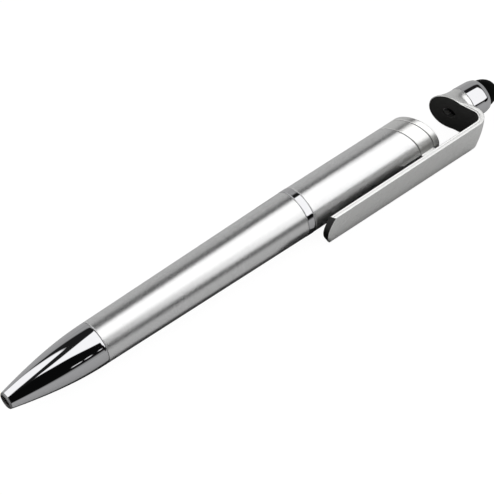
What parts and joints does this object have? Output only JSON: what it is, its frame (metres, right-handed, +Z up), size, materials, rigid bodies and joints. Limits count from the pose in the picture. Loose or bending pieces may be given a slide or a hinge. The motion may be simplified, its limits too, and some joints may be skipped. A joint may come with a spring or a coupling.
{
  "type": "twist ballpoint pen",
  "caption": "Twist-action ballpoint pen with a wide clip that bends over the top as a phone-stand slot and carries a rubber stylus tip.",
  "frame": {"origin": "centre of the bounding box at its base, with the pen lying on its side", "axes": "+X from the nose to the stylus tip along the barrel, -Y towards the clip, +Z up across the clip's width"},
  "size_m": [0.1504, 0.0158, 0.0125],
  "materials": {
    "barrel_silver": "satin silver",
    "clip_silver": "satin silver lacquer",
    "chrome": "mirror",
    "stylus_rubber": "smooth matt",
    "pad_rubber": "matt",
    "brass": "machined",
    "steel": "drawn wire",
    "white_plastic": "moulded",
    "refill_plastic": "translucent tube",
    "ink": "blue paste ink"
  },
  "bodies": {
    "upper_body": {"upper_barrel": "barrel_silver", "phone_clip": "clip_silver", "end_cap": "clip_silver", "head_pad": "pad_rubber", "stylus_screw": "steel", "stylus_ferrule": "chrome", "stylus_tip": "stylus_rubber", "mechanism_cam": "brass", "cam_sleeve": "white_plastic"},
    "lower_body": {"nose_cone": "chrome", "lower_barrel": "barrel_silver", "centre_ring": "chrome", "threaded_bush": "brass", "mechanism_guide": "white_plastic", "retaining_collar": "brass", "return_spring": "steel"},
    "refill": {"mechanism_plunger": "white_plastic", "plunger_pin": "steel", "refill_tube": "refill_plastic", "refill_ink": "ink", "refill_tip": "brass", "refill_ball": "steel"}
  },
  "joints": [
    {"name": "barrel_twist", "type": "hinge", "parent": "upper_body", "child": "lower_body", "pos_m": [0, 0.00165, 0.00625], "axis": [1, 0, 0], "range_deg": [0, 180]},
    {"name": "refill_slide", "type": "slide", "parent": "lower_body", "child": "refill", "axis": [-1, 0, 0], "range_m": [0, 0.005], "deforming": ["return_spring"]}
  ],
  "couplings": [
    {"joint": "barrel_twist", "follows": "refill_slide", "rad_per_m": 628.32}
  ]
}
